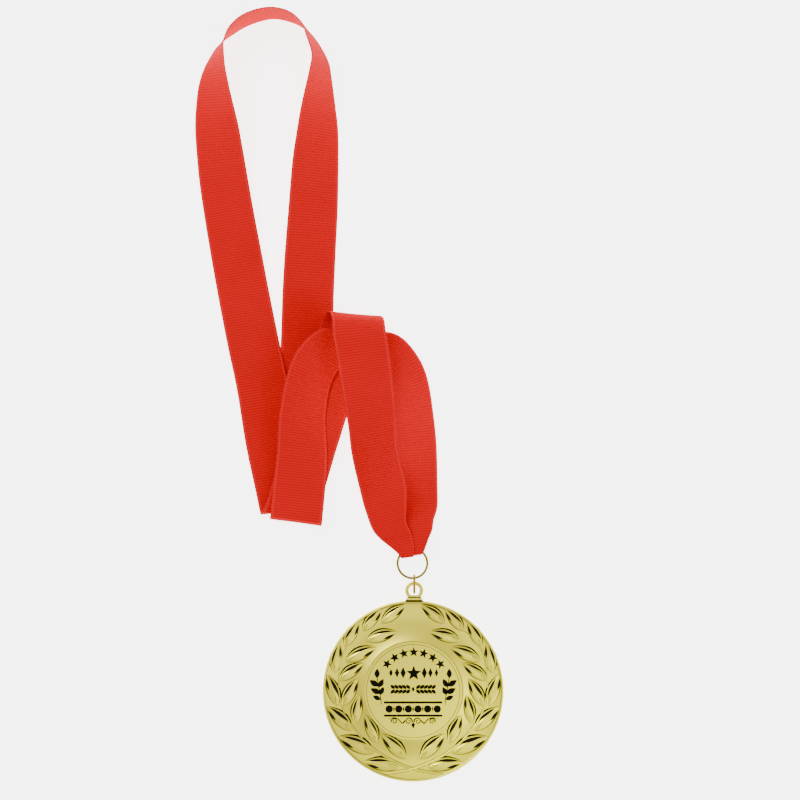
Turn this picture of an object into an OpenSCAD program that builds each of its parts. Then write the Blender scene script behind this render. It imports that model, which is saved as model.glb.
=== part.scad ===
// Cast wreath medal lying flat, hung by two wire rings from a folded V-neck ribbon.
// Millimetres. +Y runs from the disc to the ribbon, +Z up; the table is z = 0.

/* [Disc] */
// Diameter of the cast disc
disc_d = 70; // [69:0.5:71]
// Height of the sunk field between the leaves
field_z = 2.3; // [2:0.1:2.4]
// Height of the leaves and of the border above the table
relief_z = 3.0; // [2.9:0.1:3.2]
// Radius that rounds the disc's rim
rim_r = 0.6; // [0.3:0.1:0.8]
// Width of the raised border
border_w = 0.7; // [0.4:0.1:1]

/* [Wreath] */
// Width of a laurel leaf over its length
leaf_ratio = 0.38; // [0.3:0.02:0.42]

/* [Centre] */
// Diameter of the printed centre plate
plate_d = 38.4; // [36:0.2:38.4]
// Thickness of the centre plate
plate_t = 0.5; // [0.4:0.1:0.7]
// Thickness of the adhesive film under it
film_t = 0.1; // [0.05:0.05:0.2]

/* [Eyelet] */
// Distance from the disc's centre to the eyelet hole's centre
eyelet_y = 38.9; // [38.7:0.1:39.1]
// Radius of the eyelet hole
eyelet_hole_r = 2.15; // [2.1:0.05:2.3]
// Width of metal round the hole
eyelet_rim = 1.4; // [1.2:0.1:1.4]
// Width of the tab that joins the eyelet to the disc
tab_w = 5.8; // [5:0.2:6]

/* [Rings] */
// Wire diameter of the jump ring
jump_wire = 0.9; // [0.7:0.1:0.9]
// Outer diameter of the jump ring
jump_d = 7.5; // [7.4:0.1:7.6]
// Wire diameter of the ribbon ring
ribbon_wire = 0.95; // [0.85:0.05:0.95]
// Outer diameter of the ribbon ring
ribbon_ring_d = 12.4; // [12.35:0.05:12.45]

/* [Ribbon] */
// Thickness of the woven ribbon
ribbon_t = 0.4; // [0.3:0.05:0.4]
// Smooth steps between two stations of the ribbon
ribbon_steps = 4; // [2:1:4]

/* [Hidden] */
$fn = 96;

disc_r = disc_d / 2;
plate_r = plate_d / 2;
recess_z = field_z - plate_t - film_t + 0.1;  // the plate stands 0.1 proud of the field
eyelet_low = 1.15;    // underside of the eyelet, clear of the jump ring's lowest wire
eyelet_high = 2.65;   // top of the eyelet
jump_r = (jump_d - jump_wire) / 2;
jump_y = 41.65;       // centre of the jump ring, which stands on its edge
jump_x = 0.4;
jump_z = jump_d / 2;
ring_r = (ribbon_ring_d - ribbon_wire) / 2;
ring_x = -0.3;        // centre of the ribbon ring, which lies level
ring_y = 49.6;
ring_z = 3.75;
split = 2;            // degrees of the cut where each wire ring was closed

// Leaves of one branch: [tip angle, tip radius, base angle, base radius]
OUTER_LEAVES = [[85, 33.5, 65, 29], [69, 34, 50, 30.3], [52, 34, 33, 31.5],
                [33, 34, 13, 31.3], [11, 34, -11, 29.8], [-10, 34, -33, 28.3],
                [-31, 34, -58, 28.3], [-55, 33.4, -79, 30]];
INNER_LEAVES = [[75, 23.8, 47, 26.7], [50, 22.2, 24, 28.5], [30, 21.9, 8, 29],
                [13, 21.9, -12, 27.7], [-4, 20.6, -29, 25.6], [-26, 20.8, -55, 24.6],
                [-53, 20.7, -84, 26.4]];
// The ribbon's route, laid out by hand, from the seam up the front strand, round
// the neck loop and back down to the seam.
// Each station: [x, y, z, azimuth and elevation of the width direction, width]
ROUTE = [
    [-3.4, 60, 2, 10, 0, 7], [-2.8, 56, 1.95, 8, 0, 6], [-2.6, 53.7, 1.95, 7, 0, 6],
    [-2.35, 52.4, 2.45, 7, 0, 5.2], [-2.25, 51.95, 3.75, 7, 0, 4.9],
    [-2.35, 52.4, 5.05, 7, 0, 5.2], [-2.7, 53.7, 5.6, 7, 0, 6.2],
    [-4.2, 56.5, 5.6, 8, 0, 9], [-6.8, 60.5, 5.8, 14, 0, 12],
    [-9.2, 64.5, 6.5, 14, 2, 13.5], [-10.4, 71, 8, 12, 8, 16],
    [-11.6, 79, 9.5, 12, 20, 19], [-14.8, 93, 10.3, 12, 26, 20],
    [-15.8, 105, 12.2, 9, 20, 20], [-17.6, 119, 15, 8, 10, 20],
    [-19.4, 132, 16.8, 7, 2, 20], [-20.4, 137.5, 17, 6, -3, 20],
    [-21, 143.2, 14.7, 0, -9, 20], [-22.4, 145.5, 9, -5, -12, 20],
    [-24.6, 143.2, 3.3, -10, -6, 20], [-27.2, 137.5, 1.35, -14, 0, 20],
    [-30.5, 126, 1.3, -16, 0, 20], [-35, 110, 1.7, -16, 0, 20],
    [-39.6, 95, 2.7, -16, 0, 20], [-44, 80, 3.8, -16, 0, 20],
    [-46.9, 70.5, 4.4, -13, -4, 20], [-47.9, 69, 4, -8, -7, 20],
    [-48.3, 68.6, 3, -3, -7, 20], [-48.7, 69, 2, 2, -4, 20], [-49.4, 70.5, 1.6, 8, -1, 20],
    [-51.4, 80, 1.5, 10, 0, 20], [-55, 97, 1.5, 11, 0, 20], [-58.4, 118, 1.4, 9, 0, 20],
    [-62, 135, 1.35, 8, 0, 20], [-65.2, 151, 1.1, 8, 3, 20], [-67.8, 165, 1.4, 8, 6, 20],
    [-70.8, 182, 2.3, 8, 11, 20], [-73.2, 197, 3, 5, 15, 20], [-74.6, 208, 3.9, 0, 20, 20],
    [-75.7, 218, 5, -3, 27, 20], [-76.4, 227, 6.7, -6, 39, 20],
    [-76.6, 233.5, 7.9, -9, 48, 20], [-76.2, 239.3, 8.9, -12, 58, 20],
    [-75.1, 244.2, 9.6, -18, 67, 20], [-73.6, 248.5, 10, -30, 75, 20],
    [-69.8, 253.4, 10.2, -50, 85, 20], [-63.5, 257.8, 10.3, -65, 89, 20],
    [-54.8, 260.2, 10.3, -90, 89, 20], [-47.2, 258.9, 10.3, -115, 89, 20],
    [-41.6, 255.2, 10.2, -135, 85, 20], [-38.6, 250.4, 10, -155, 79, 20],
    [-35.6, 243.4, 9.8, -170, 74, 20], [-35.4, 237.6, 9.4, -176, 68, 20],
    [-35.7, 231.8, 8.9, -178, 61, 20], [-36.1, 225, 8.1, -180, 52, 20],
    [-36.5, 217, 6.9, -180, 42, 20], [-37.6, 203, 5.3, -181, 30, 20],
    [-38.5, 187, 4.1, -182, 22, 20], [-39.7, 170, 2.9, -182, 15, 20],
    [-40.6, 154, 1.9, -183, 9, 20], [-41.2, 138, 0.6, -183, 1, 20],
    [-42.2, 118, 0.4, -183, 0, 20], [-43.4, 97, 0.4, -184, 0, 20],
    [-44.5, 78, 0.4, -185, 0, 20], [-45, 68.3, 0.4, -187, 0, 20],
    [-45.2, 66.2, 1.3, -187, 2, 20], [-45.3, 65.4, 3.4, -188, 4, 20],
    [-45.2, 66.2, 5.5, -188, 4, 20], [-44.8, 68.3, 6.3, -187, 4, 20],
    [-43.8, 78.5, 6, -186, 7, 20], [-42.6, 92, 6.6, -187, 18, 20],
    [-42.4, 106, 7.6, -189, 30, 20], [-40.4, 118.5, 8, -196, 34, 20],
    [-37.2, 126.8, 8, -208, 33, 20], [-31, 134, 7.8, -205, 33, 20],
    [-23.5, 138.8, 8.9, -185, 32, 20], [-15.7, 134.8, 11.2, -160, 22, 20],
    [-6.8, 126.3, 9.2, -140, 27, 20], [-2.5, 118.8, 8.2, -155, 33, 20],
    [0.1, 106.8, 7.3, -172, 39, 20], [1, 95.2, 6.6, -177, 36, 20],
    [0.4, 80, 5, -180, 25, 20], [0.1, 71.4, 3.9, -179, 16, 19.5],
    [-0.5, 66, 4.4, -178, 6, 17], [0.4, 62, 4.8, -175, 0, 14],
    [0.9, 58.4, 5.05, -174, 0, 10], [0.7, 54.15, 5.05, -173, 0, 7.2],
    [0.55, 53.1, 4.7, -173, 0, 5.8], [0.55, 52.78, 3.75, -173, 0, 5.2],
    [0.55, 53.1, 2.8, -173, 0, 5.8], [0.7, 54.15, 2.45, -173, 0, 7.2],
    [0.7, 56.5, 2.45, -174, 0, 8.2], [0.9, 59.5, 2.45, -175, 0, 8.5]];

// First and last station of each stretch
FRONT_TIP = [0, 8];
FRONT_STRAND = [8, 16];
FRONT_FOLD = [16, 20];
FRONT_RETURN = [20, 25];
LEFT_FOLD = [25, 29];
LEFT_LEG = [29, 44];
NECK_ARC = [44, 50];
RIGHT_LEG = [50, 64];
RIGHT_FOLD = [64, 68];
BACK_RETURN = [68, 73];
BACK_FOLD = [73, 77];
BACK_STRAND = [77, 84];
BACK_TIP = [84, 92];

// A station at any place along the route: a smooth curve through the list
function at(i) = ROUTE[max(0, min(len(ROUTE) - 1, i))];
function station(s) =
    let (i = min(floor(s), len(ROUTE) - 2), t = s - i,
         a = at(i - 1), b = at(i), c = at(i + 1), d = at(i + 2))
    0.5 * (2 * b + t * (c - a) + t * t * (2 * a - 5 * b + 4 * c - d)
           + t * t * t * (3 * b - a - 3 * c + d));
function centre(s) = let (q = station(s)) [q[0], q[1], q[2]];
function across(s) =
    let (q = station(s)) [cos(q[4]) * cos(q[3]), cos(q[4]) * sin(q[3]), sin(q[4])];
function unit(v) = v / norm(v);
function along(s) = unit(centre(min(s + 0.02, len(ROUTE) - 1)) - centre(max(s - 0.02, 0)));
function upright(s) = unit(cross(across(s), along(s)));
// A point on the ribbon: u from -1 to 1 across its width, h up from its middle
function on_ribbon(s, u, h) = centre(s) + u * station(s)[5] / 2 * across(s) + h * upright(s);

// A stretch of the ribbon as one closed solid of rectangular section
module stretch(span) {
    rings = (span[1] - span[0]) * ribbon_steps;
    points = [for (i = [0:rings], c = [[-1, -1], [1, -1], [1, 1], [-1, 1]])
        on_ribbon(span[0] + i / ribbon_steps, c[0], c[1] * ribbon_t / 2)];
    // the two broad faces (k = 0 and 2) are cut along the same diagonal, so that a
    // twisted stretch keeps its thickness
    sides = [for (i = [0:rings - 1], k = [0:3])
        let (a = 4 * i + k, b = 4 * i + (k + 1) % 4)
        each k == 2 ? [[a, a + 4, b], [a + 4, b + 4, b]]
                    : [[a, a + 4, b + 4], [a, b + 4, b]]];
    last = 4 * rings;
    ends = [[0, 1, 2], [0, 2, 3], [last + 2, last + 1, last], [last + 3, last + 2, last]];
    color("firebrick") polyhedron(points, concat(sides, ends), convexity = 8);
}

// A wire ring in its own XY plane, cut through where it was closed
module wire_ring(middle_r, wire_d, cut_angle) {
    rotate([0, 0, cut_angle + split / 2])
        rotate_extrude(angle = 360 - split)
            translate([middle_r, 0]) circle(d = wire_d, $fn = 32);
}

function polar(angle, radius) = [radius * cos(angle), radius * sin(angle)];

// A pointed leaf between two places on the face: two equal arcs that meet at its ends
module leaf(l) {
    tip = polar(l[0], l[1]);
    base = polar(l[2], l[3]);
    half = norm(tip - base) / 2;
    w = half * leaf_ratio;
    arc_r = (half * half + w * w) / (2 * w);
    lean = atan2(tip[1] - base[1], tip[0] - base[0]);
    translate([(tip[0] + base[0]) / 2, (tip[1] + base[1]) / 2, field_z - 0.2])
        rotate([0, 0, lean])
            linear_extrude(relief_z - field_z + 0.2)
                intersection() {
                    translate([0, arc_r - w]) circle(r = arc_r);
                    translate([0, w - arc_r]) circle(r = arc_r);
                }
}

module branch() {
    for (l = OUTER_LEAVES) leaf(l);
    for (l = INNER_LEAVES) leaf(l);
}

// The disc's turned outline: flat back, rounded rim, raised border, recess for the plate
module disc_blank() {
    rotate_extrude()
        difference() {
            union() {
                square([disc_r - rim_r, relief_z]);
                translate([0, rim_r]) square([disc_r, relief_z - 2 * rim_r]);
                for (z = [rim_r, relief_z - rim_r])
                    translate([disc_r - rim_r, z]) circle(r = rim_r);
            }
            translate([plate_r, field_z]) square([disc_r - border_w - plate_r, 9]);
            translate([-1, recess_z]) square([plate_r + 1.01, 9]);
        }
}

module eyelet() {
    difference() {
        union() {
            translate([jump_x, eyelet_y, eyelet_low])
                cylinder(r = eyelet_hole_r + eyelet_rim, h = eyelet_high - eyelet_low);
            translate([jump_x - tab_w / 2, disc_r - 1, eyelet_low])
                cube([tab_w, eyelet_y - eyelet_hole_r - disc_r + 0.6,
                      eyelet_high - eyelet_low]);
        }
        translate([jump_x, eyelet_y, 0]) cylinder(r = eyelet_hole_r, h = 9);
    }
}

module medal_disc() {
    color("darkkhaki") {
        disc_blank();
        branch();
        mirror([1, 0, 0]) branch();
        eyelet();
    }
}

module centre_plate() {
    color("gold")
        translate([0, 0, recess_z + film_t]) cylinder(r = plate_r - 0.05, h = plate_t);
}

module adhesive_film() {
    color("ivory") translate([0, 0, recess_z]) cylinder(r = plate_r - 0.6, h = film_t);
}

module jump_ring() {
    color("goldenrod")
        translate([jump_x, jump_y, jump_z])
            rotate([90, 0, 90]) wire_ring(jump_r, jump_wire, 60);
}

module ribbon_ring() {
    color("darkgoldenrod")
        translate([ring_x, ring_y, ring_z]) wire_ring(ring_r, ribbon_wire, 90);
}

module ribbon_front_tip() { stretch(FRONT_TIP); }
module ribbon_front_strand() { stretch(FRONT_STRAND); }
module ribbon_front_fold() { stretch(FRONT_FOLD); }
module ribbon_front_return() { stretch(FRONT_RETURN); }
module ribbon_left_fold() { stretch(LEFT_FOLD); }
module ribbon_left_leg() { stretch(LEFT_LEG); }
module ribbon_neck_arc() { stretch(NECK_ARC); }
module ribbon_right_leg() { stretch(RIGHT_LEG); }
module ribbon_right_fold() { stretch(RIGHT_FOLD); }
module ribbon_back_return() { stretch(BACK_RETURN); }
module ribbon_back_fold() { stretch(BACK_FOLD); }
module ribbon_back_strand() { stretch(BACK_STRAND); }
module ribbon_back_tip() { stretch(BACK_TIP); }

// Short stitches of one thread in a row across the overlapped ends, on the front
module seam_thread() {
    stitches = 5;
    thread_d = 0.3;
    color("crimson")
        for (i = [0:stitches - 1]) {
            a = on_ribbon(7.9, -0.8 + i * 0.36, ribbon_t / 2 + thread_d / 2);
            b = on_ribbon(7.9, -0.6 + i * 0.36, ribbon_t / 2 + thread_d / 2);
            d = b - a;
            translate(a)
                rotate([0, acos(d[2] / norm(d)), atan2(d[1], d[0])])
                    cylinder(d = thread_d, h = norm(d), $fn = 16);
        }
}

medal_disc();
centre_plate();
adhesive_film();
jump_ring();
ribbon_ring();
ribbon_front_tip();
ribbon_front_strand();
ribbon_front_fold();
ribbon_front_return();
ribbon_left_fold();
ribbon_left_leg();
ribbon_neck_arc();
ribbon_right_leg();
ribbon_right_fold();
ribbon_back_return();
ribbon_back_fold();
ribbon_back_strand();
ribbon_back_tip();
seam_thread();
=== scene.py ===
# %% [markdown]
# # A cast medal on a folded neck ribbon
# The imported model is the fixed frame: it holds every size, place and joint. This lesson
# dresses it. The disc, its wreath, the rings and the ribbon are worked out as surfaces
# with numpy, and each one rides on the CAD body that it belongs to.

# %% Load the frame
import math

import bmesh
import bpy
import numpy as np
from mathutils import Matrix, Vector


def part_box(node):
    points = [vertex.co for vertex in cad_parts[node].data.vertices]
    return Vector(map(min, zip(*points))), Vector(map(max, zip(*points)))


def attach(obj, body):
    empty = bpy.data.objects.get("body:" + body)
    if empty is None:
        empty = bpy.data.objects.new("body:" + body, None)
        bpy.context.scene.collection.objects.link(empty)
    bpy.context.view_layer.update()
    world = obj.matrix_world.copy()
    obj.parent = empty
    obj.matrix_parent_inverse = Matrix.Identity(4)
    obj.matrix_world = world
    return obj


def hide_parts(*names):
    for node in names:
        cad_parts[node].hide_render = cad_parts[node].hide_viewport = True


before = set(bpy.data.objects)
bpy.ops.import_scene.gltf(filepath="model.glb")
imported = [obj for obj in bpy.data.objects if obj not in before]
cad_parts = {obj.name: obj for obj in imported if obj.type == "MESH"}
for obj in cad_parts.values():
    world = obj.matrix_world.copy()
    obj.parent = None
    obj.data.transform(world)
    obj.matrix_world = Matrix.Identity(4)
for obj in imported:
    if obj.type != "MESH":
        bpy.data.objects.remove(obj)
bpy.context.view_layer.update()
MM = 0.001

# %% [markdown]
# ## The camera
# The medal lies on a white table and is seen from straight above. A camera that hangs
# over the middle of the layout and looks down shows the inner face of the neck loop,
# which stands on edge, as a thin band. Its height sets how wide that band looks.

# %% Hang the camera over the layout
CAMERA_HEIGHT = 0.60
FIELD_WIDTH = 0.3106          # width of the table that the picture takes in
LAYOUT_CENTRE = (-5.1 * MM, 112.6 * MM)

camera = bpy.data.objects.new("camera", bpy.data.cameras.new("camera"))
camera.location = (*LAYOUT_CENTRE, CAMERA_HEIGHT)
camera.data.lens = camera.data.sensor_width * CAMERA_HEIGHT / FIELD_WIDTH
camera.data.clip_start = 0.01
bpy.context.scene.collection.objects.link(camera)
bpy.context.scene.camera = camera
print("lens:", round(camera.data.lens, 1), "mm")

# %% [markdown]
# ## The neck ribbon
# A medal ribbon is a flat woven tape, 20 mm wide and 0.8 m long, whose two ends are sewn
# together over a ring. Here it lies folded in a zigzag. A cloth simulation could fold
# it, but these exact folds are wanted and tape keeps its width, so it is carried along a
# route: a smooth curve through listed stations, each with the direction of its width.

# %% The ribbon's route: x, y, z, azimuth and elevation of the width, width
ROUTE = np.array([
    [-3.4, 60, 2, 10, 0, 7], [-2.8, 56, 1.95, 8, 0, 6], [-2.6, 53.7, 1.95, 7, 0, 6],
    [-2.35, 52.4, 2.45, 7, 0, 5.2], [-2.25, 51.95, 3.75, 7, 0, 4.9],
    [-2.35, 52.4, 5.05, 7, 0, 5.2], [-2.7, 53.7, 5.6, 7, 0, 6.2],
    [-4.2, 56.5, 5.6, 8, 0, 9], [-6.8, 60.5, 5.8, 14, 0, 12],
    [-9.2, 64.5, 6.5, 14, 2, 13.5], [-10.4, 71, 8, 12, 8, 16],
    [-11.6, 79, 9.5, 12, 20, 19], [-14.8, 93, 10.3, 12, 26, 20],
    [-15.8, 105, 12.2, 9, 20, 20], [-17.6, 119, 15, 8, 10, 20],
    [-19.4, 132, 16.8, 7, 2, 20], [-20.4, 137.5, 17, 6, -3, 20],
    [-21, 143.2, 14.7, 0, -9, 20], [-22.4, 145.5, 9, -5, -12, 20],
    [-24.6, 143.2, 3.3, -10, -6, 20], [-27.2, 137.5, 1.35, -14, 0, 20],
    [-30.5, 126, 1.3, -16, 0, 20], [-35, 110, 1.7, -16, 0, 20],
    [-39.6, 95, 2.7, -16, 0, 20], [-44, 80, 3.8, -16, 0, 20],
    [-46.9, 70.5, 4.4, -13, -4, 20], [-47.9, 69, 4, -8, -7, 20],
    [-48.3, 68.6, 3, -3, -7, 20], [-48.7, 69, 2, 2, -4, 20], [-49.4, 70.5, 1.6, 8, -1, 20],
    [-51.4, 80, 1.5, 10, 0, 20], [-55, 97, 1.5, 11, 0, 20], [-58.4, 118, 1.4, 9, 0, 20],
    [-62, 135, 1.35, 8, 0, 20], [-65.2, 151, 1.1, 8, 3, 20], [-67.8, 165, 1.4, 8, 6, 20],
    [-70.8, 182, 2.3, 8, 11, 20], [-73.2, 197, 3, 5, 15, 20], [-74.6, 208, 3.9, 0, 20, 20],
    [-75.7, 218, 5, -3, 27, 20], [-76.4, 227, 6.7, -6, 39, 20],
    [-76.6, 233.5, 7.9, -9, 48, 20], [-76.2, 239.3, 8.9, -12, 58, 20],
    [-75.1, 244.2, 9.6, -18, 67, 20], [-73.6, 248.5, 10, -30, 75, 20],
    [-69.8, 253.4, 10.2, -50, 85, 20], [-63.5, 257.8, 10.3, -65, 89, 20],
    [-54.8, 260.2, 10.3, -90, 89, 20], [-47.2, 258.9, 10.3, -115, 89, 20],
    [-41.6, 255.2, 10.2, -135, 85, 20], [-38.6, 250.4, 10, -155, 79, 20],
    [-35.6, 243.4, 9.8, -170, 74, 20], [-35.4, 237.6, 9.4, -176, 68, 20],
    [-35.7, 231.8, 8.9, -178, 61, 20], [-36.1, 225, 8.1, -180, 52, 20],
    [-36.5, 217, 6.9, -180, 42, 20], [-37.6, 203, 5.3, -181, 30, 20],
    [-38.5, 187, 4.1, -182, 22, 20], [-39.7, 170, 2.9, -182, 15, 20],
    [-40.6, 154, 1.9, -183, 9, 20], [-41.2, 138, 0.6, -183, 1, 20],
    [-42.2, 118, 0.4, -183, 0, 20], [-43.4, 97, 0.4, -184, 0, 20],
    [-44.5, 78, 0.4, -185, 0, 20], [-45, 68.3, 0.4, -187, 0, 20],
    [-45.2, 66.2, 1.3, -187, 2, 20], [-45.3, 65.4, 3.4, -188, 4, 20],
    [-45.2, 66.2, 5.5, -188, 4, 20], [-44.8, 68.3, 6.3, -187, 4, 20],
    [-43.8, 78.5, 6, -186, 7, 20], [-42.6, 92, 6.6, -187, 18, 20],
    [-42.4, 106, 7.6, -189, 30, 20], [-40.4, 118.5, 8, -196, 34, 20],
    [-37.2, 126.8, 8, -208, 33, 20], [-31, 134, 7.8, -205, 33, 20],
    [-23.5, 138.8, 8.9, -185, 32, 20], [-15.7, 134.8, 11.2, -160, 22, 20],
    [-6.8, 126.3, 9.2, -140, 27, 20], [-2.5, 118.8, 8.2, -155, 33, 20],
    [0.1, 106.8, 7.3, -172, 39, 20], [1, 95.2, 6.6, -177, 36, 20],
    [0.4, 80, 5, -180, 25, 20], [0.1, 71.4, 3.9, -179, 16, 19.5],
    [-0.5, 66, 4.4, -178, 6, 17], [0.4, 62, 4.8, -175, 0, 14],
    [0.9, 58.4, 5.05, -174, 0, 10], [0.7, 54.15, 5.05, -173, 0, 7.2],
    [0.55, 53.1, 4.7, -173, 0, 5.8], [0.55, 52.78, 3.75, -173, 0, 5.2],
    [0.55, 53.1, 2.8, -173, 0, 5.8], [0.7, 54.15, 2.45, -173, 0, 7.2],
    [0.7, 56.5, 2.45, -174, 0, 8.2], [0.9, 59.5, 2.45, -175, 0, 8.5]], dtype=float)
print("stations:", len(ROUTE))


# %% A smooth curve through the stations
def smooth_curve(stations, s):
    """The Catmull-Rom curve: between two stations each number is a cubic that also looks
    at the station before and the one after, so that the curve has no kinks."""
    last = len(stations) - 1
    i = np.clip(np.floor(s).astype(int), 0, last - 1)
    t = (s - i)[:, None]
    a, b, c, d = (stations[np.clip(i + k, 0, last)] for k in (-1, 0, 1, 2))
    return 0.5 * (2 * b + t * (c - a) + t ** 2 * (2 * a - 5 * b + 4 * c - d)
                  + t ** 3 * (3 * b - a - 3 * c + d))


def ribbon_frame(s):
    """At each place: the middle, the direction across, the direction up, and the width."""
    q = smooth_curve(ROUTE, s)
    azimuth, elevation = np.radians(q[:, 3]), np.radians(q[:, 4])
    middle = q[:, :3] * MM
    across = np.stack([np.cos(elevation) * np.cos(azimuth),
                       np.cos(elevation) * np.sin(azimuth), np.sin(elevation)], axis=1)
    tangent = unit(np.gradient(middle, axis=0))
    up = unit(np.cross(across, tangent))
    return middle, across, up, q[:, 5] * MM


# Places at even distances along the ribbon, so that every rib is as wide as the next
dense = np.linspace(0, len(ROUTE) - 1, 9000)
dense_length = np.concatenate([[0], np.cumsum(np.linalg.norm(
    np.diff(smooth_curve(ROUTE, dense)[:, :3] * MM, axis=0), axis=1))])
RIBBON_LENGTH = float(dense_length[-1])
print("ribbon length:", round(RIBBON_LENGTH, 4), "m")

# %% [markdown]
# ## Meshes from arrays
# Every new piece is a grid of points: one direction runs along the piece and the other
# runs round its section. Writing the grid into a mesh is the same job each time, so it
# is one function. A second map of numbers, the UV map, carries a place along and across
# the piece, which the materials read.


# %% From a grid of points to an object
def grid_faces(rings, points):
    """Quads that join ring i to ring i + 1; the last point of a ring meets its first."""
    i, k = np.meshgrid(np.arange(rings - 1), np.arange(points), indexing="ij")
    k_next = (k + 1) % points
    corners = (i * points + k, i * points + k_next,
               (i + 1) * points + k_next, (i + 1) * points + k)
    return np.stack(corners, axis=-1).reshape(-1, 4)


def new_object(name, points, faces, uv=None):
    """An object at the origin from arrays of points, four-cornered faces and a UV per point."""
    mesh = bpy.data.meshes.new(name)
    mesh.from_pydata(points.reshape(-1, 3), [], faces)
    if uv is not None:
        layer = mesh.uv_layers.new(name="place")
        loops = np.empty(len(mesh.loops), dtype=np.int32)
        mesh.loops.foreach_get("vertex_index", loops)
        layer.data.foreach_set("uv", uv.reshape(-1, 2)[loops].astype(np.float32).ravel())
    mesh.polygons.foreach_set("use_smooth", [True] * len(mesh.polygons))
    obj = bpy.data.objects.new(name, mesh)
    bpy.context.scene.collection.objects.link(obj)
    return obj


def close_up(obj, weld=1e-6):
    """Welds pinched ends, fills any open rim and turns all faces outwards."""
    shape = bmesh.new()
    shape.from_mesh(obj.data)
    bmesh.ops.remove_doubles(shape, verts=shape.verts, dist=weld)
    bmesh.ops.holes_fill(shape, edges=shape.edges, sides=0)
    bmesh.ops.recalc_face_normals(shape, faces=shape.faces)
    shape.to_mesh(obj.data)
    shape.free()
    print(f"{obj.name}: {len(obj.data.polygons)} faces")
    return obj


def repeated_faces(count, rings, points):
    """The faces of several equal grids: each grid's numbers start where the last one's end."""
    start = np.arange(count) * rings * points
    return (grid_faces(rings, points)[None] + start[:, None, None]).reshape(-1, 4)


def unit(vectors):
    """The vectors at length one."""
    return vectors / np.linalg.norm(vectors, axis=-1, keepdims=True)


print("faces between 3 rings of 4 points:", len(grid_faces(3, 4)))

# %% [markdown]
# ## The weave
# Grosgrain has thick weft cords under fine warp threads, which show as ribs across the
# tape, about one to the millimetre. The ribs are real geometry: both faces swell and
# sink by a few hundredths of a millimetre. Each edge is a fine, dense selvedge.

# %% Ribbon surface with ribs
RIB_PITCH = 1.0 * MM
RIB_HEIGHT = 0.055 * MM
RIBBON_THICKNESS = 0.36 * MM
SAMPLES_PER_RIB = 5

ring_count = int(RIBBON_LENGTH / RIB_PITCH * SAMPLES_PER_RIB)
length_along = np.linspace(0, RIBBON_LENGTH, ring_count)
stations = np.interp(length_along, dense_length, dense)
middle, across, up, width = ribbon_frame(stations)

# Half of the section: places from edge to edge, and how thick the tape is there
half_u = np.array([-1, -0.985, -0.94, -0.72, -0.36, 0, 0.36, 0.72, 0.94, 0.985, 1])
half_t = np.array([0.15, 0.85, 1, 1, 1, 1, 1, 1, 1, 0.85, 0.15])
rib = np.abs(np.sin(np.pi * length_along / RIB_PITCH))
in_field = np.where(np.abs(half_u) < 0.9, 1.0, 0.25)
swell = RIBBON_THICKNESS / 2 * half_t[None] + RIB_HEIGHT * (rib[:, None] - 0.6) * in_field[None]
# A soft cup across the tape and a slow wave along it take away its ruler-straight look
cup = 0.25 * MM * (1 - half_u[None] ** 2) * np.sin(length_along * 95 + 0.7)[:, None]
flatness = np.clip((width / MM - 14) / 6, 0, 1)[:, None]
bow = cup * flatness * 0.6
offset = np.concatenate([swell + bow, -swell[:, ::-1] + bow[:, ::-1]], axis=1)
u_round = np.concatenate([half_u, half_u[::-1]])
points = (middle[:, None] + u_round[None, :, None] * width[:, None, None] / 2 * across[:, None]
          + offset[:, :, None] * up[:, None])
uv = np.stack(np.broadcast_arrays(length_along[:, None], u_round[None] * 0.01), axis=-1)
ribbon = close_up(new_object("neck_ribbon", points,
                             grid_faces(ring_count, len(u_round)), uv), weld=1e-7)
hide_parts(*[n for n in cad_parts
                      if n.startswith("ribbon_") and n != "ribbon_ring"])
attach(ribbon, "ribbon")

# %% [markdown]
# ## Materials
# A material is a chain of small nodes. A short helper writes arithmetic as nodes, so that
# a pattern reads like its formula. Colours are linear numbers, which are what the
# renderer adds up; a colour known from a screen is first turned into them.


# %% Colour and node helpers
def linear(red, green, blue):
    """A screen colour, 0 to 255, as linear red, green, blue and one for alpha."""
    c = np.array([red, green, blue]) / 255
    value = np.where(c <= 0.04045, c / 12.92, ((c + 0.055) / 1.055) ** 2.4)
    return (*value.tolist(), 1.0)


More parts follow.
